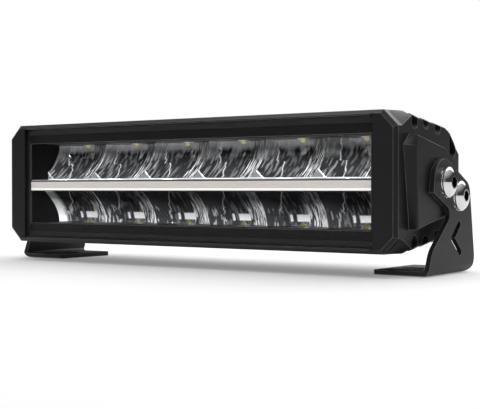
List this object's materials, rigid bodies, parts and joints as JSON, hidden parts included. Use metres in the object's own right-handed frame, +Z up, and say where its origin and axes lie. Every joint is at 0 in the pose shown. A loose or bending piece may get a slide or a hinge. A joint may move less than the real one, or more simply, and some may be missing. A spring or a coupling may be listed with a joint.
{
  "type": "led light bar",
  "caption": "Straight LED light bar with a black finned housing, metallised reflectors, a lit centre strip and folded tilt brackets with slotted feet.",
  "frame": {"origin": "middle of the pattern of the two foot slots, on the mounting surface under the feet", "axes": "+Z up, +X along the bar, the lit face looks towards -Y"},
  "size_m": [0.3318, 0.095, 0.093],
  "materials": {
    "housing_black": "satin",
    "end_cap_black": "satin",
    "bracket_black": "satin",
    "bolt_bright": "polished",
    "washer_bright": "gloss",
    "screw_black": "satin",
    "screw_zinc": "gloss",
    "lens_clear": "gloss",
    "gasket_black": "matte",
    "bezel_black": "satin",
    "reflector_metallised": "polished",
    "board_white": "satin",
    "board_dark": "satin",
    "chip_yellow": "gloss",
    "guide_warm_white": "satin",
    "carrier_grey": "satin",
    "board_green": "satin",
    "component_dark": "gloss",
    "gland_black": "satin",
    "vent_grey": "satin"
  },
  "bodies": {
    "lamp": {"housing_extrusion": "housing_black", "end_cap_left": "end_cap_black", "end_cap_right": "end_cap_black", "end_cap_gasket_left": "gasket_black", "end_cap_gasket_right": "gasket_black", "end_cap_screws_left": "screw_black", "end_cap_screws_right": "screw_black", "pivot_bolt_left": "bolt_bright", "pivot_bolt_right": "bolt_bright", "lock_bolt_left": "bolt_bright", "lock_bolt_right": "bolt_bright", "pivot_washer_left": "washer_bright", "pivot_washer_right": "washer_bright", "lock_washer_left": "washer_bright", "lock_washer_right": "washer_bright", "spring_washers_left": "washer_bright", "spring_washers_right": "washer_bright", "front_lens": "lens_clear", "lens_gasket": "gasket_black", "inner_bezel": "bezel_black", "reflector_upper": "reflector_metallised", "reflector_lower": "reflector_metallised", "led_board_upper": "board_dark", "led_board_lower": "board_dark", "led_chips_upper": "chip_yellow", "led_chips_lower": "chip_yellow", "board_screws_upper": "screw_zinc", "board_screws_lower": "screw_zinc", "strip_light_guide": "guide_warm_white", "strip_carrier": "carrier_grey", "strip_board": "board_white", "strip_leds": "chip_yellow", "driver_board": "board_green", "driver_components": "component_dark", "driver_screws": "screw_zinc", "gland_body": "gland_black", "gland_seal": "gasket_black", "gland_nut": "gland_black", "vent_plug": "vent_grey"},
    "bracket_left": {"bracket_left": "bracket_black"},
    "bracket_right": {"bracket_right": "bracket_black"}
  },
  "joints": [
    {"name": "bracket_left_tilt", "type": "hinge", "parent": "lamp", "child": "bracket_left", "pos_m": [-0.1585, -0.005, 0.053], "axis": [1, 0, 0], "range_deg": [-13, 13]},
    {"name": "bracket_right_tilt", "type": "hinge", "parent": "lamp", "child": "bracket_right", "pos_m": [0.1585, -0.005, 0.053], "axis": [1, 0, 0], "range_deg": [-13, 13]}
  ]
}
